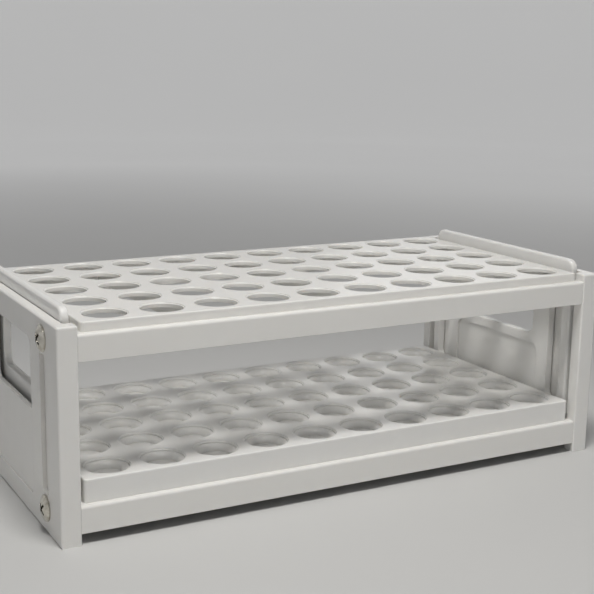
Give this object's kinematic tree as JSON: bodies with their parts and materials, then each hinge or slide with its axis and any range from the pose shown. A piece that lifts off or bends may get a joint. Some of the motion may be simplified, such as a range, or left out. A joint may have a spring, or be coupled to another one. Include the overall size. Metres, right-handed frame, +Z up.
{
  "type": "test tube rack",
  "caption": "Moulded plastic test tube rack with a perforated upper plate, a well plate below that lifts on two end panels, and screwed end plates with hand openings.",
  "frame": {"origin": "centre of the rectangle that the rack stands on, on the bench surface", "axes": "+X along the length, +Y from the front to the back, +Z up"},
  "size_m": [0.3028, 0.143, 0.1045],
  "materials": {
    "white_plastic": "satin injection-moulded polypropylene",
    "nickel_plate": "polished nickel plate",
    "zinc_steel": "zinc-plated steel"
  },
  "bodies": {
    "frame": {"left_end_plate": "white_plastic", "right_end_plate": "white_plastic", "upper_plate": "white_plastic", "base_frame": "white_plastic", "left_front_bottom_screw": "nickel_plate", "left_front_top_screw": "nickel_plate", "left_rear_bottom_screw": "nickel_plate", "left_rear_top_screw": "nickel_plate", "right_front_bottom_screw": "nickel_plate", "right_front_top_screw": "nickel_plate", "right_rear_bottom_screw": "nickel_plate", "right_rear_top_screw": "nickel_plate", "left_front_bottom_nut": "zinc_steel", "left_front_top_nut": "zinc_steel", "left_rear_bottom_nut": "zinc_steel", "left_rear_top_nut": "zinc_steel", "right_front_bottom_nut": "zinc_steel", "right_front_top_nut": "zinc_steel", "right_rear_bottom_nut": "zinc_steel", "right_rear_top_nut": "zinc_steel"},
    "lift": {"well_plate": "white_plastic", "left_lift_panel": "white_plastic", "right_lift_panel": "white_plastic"}
  },
  "joints": [
    {"name": "lift_slide", "type": "slide", "parent": "frame", "child": "lift", "axis": [0, 0, 1], "range_m": [0, 0.054]}
  ]
}
